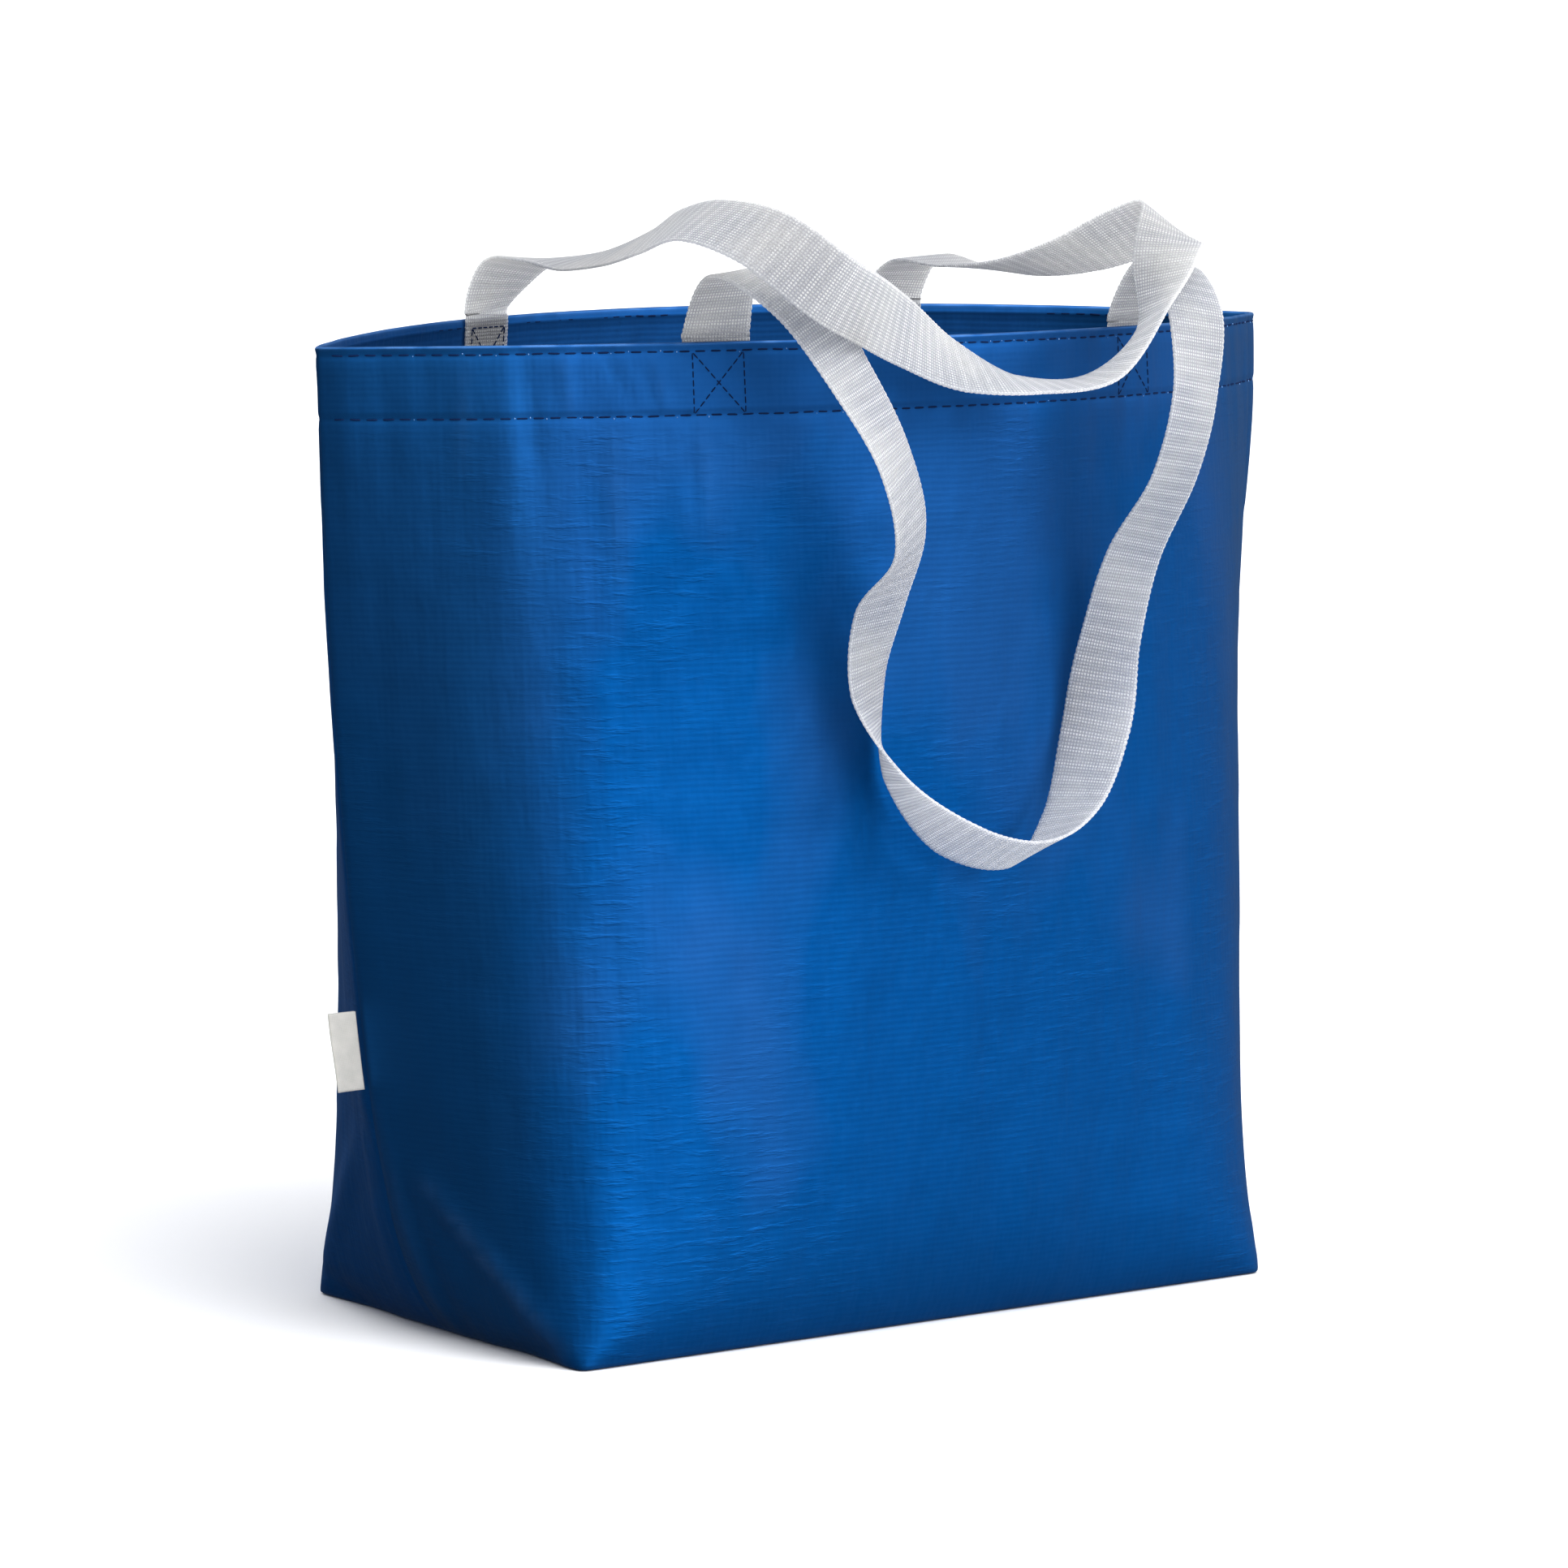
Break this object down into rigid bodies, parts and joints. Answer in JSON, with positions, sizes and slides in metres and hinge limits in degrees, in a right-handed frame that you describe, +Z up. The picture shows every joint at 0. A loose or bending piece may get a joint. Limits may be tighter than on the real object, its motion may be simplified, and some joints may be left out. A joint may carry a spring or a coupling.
{
  "type": "woven plastic carrier bag",
  "caption": "Reusable open-topped carrier bag of laminated woven plastic, with a turned-in hem, flat base and long sewn webbing handles.",
  "frame": {"origin": "middle of the flat base, on the ground", "axes": "+Z up, +X to the right along the wide panels, -Y towards the front panel, where the front handle hangs"},
  "size_m": [0.486, 0.2604, 0.4561],
  "materials": {
    "skin": "satin",
    "webbing": "matte",
    "thread": "matte",
    "label": "matte"
  },
  "bodies": {
    "root": {"bag_body": "skin", "front_handle": "webbing", "back_handle": "webbing", "upper_hem_stitches": "thread", "lower_hem_stitches": "thread", "front_left_cross_stitch": "thread", "front_right_cross_stitch": "thread", "back_left_cross_stitch": "thread", "back_right_cross_stitch": "thread", "side_label": "label"}
  },
  "joints": []
}
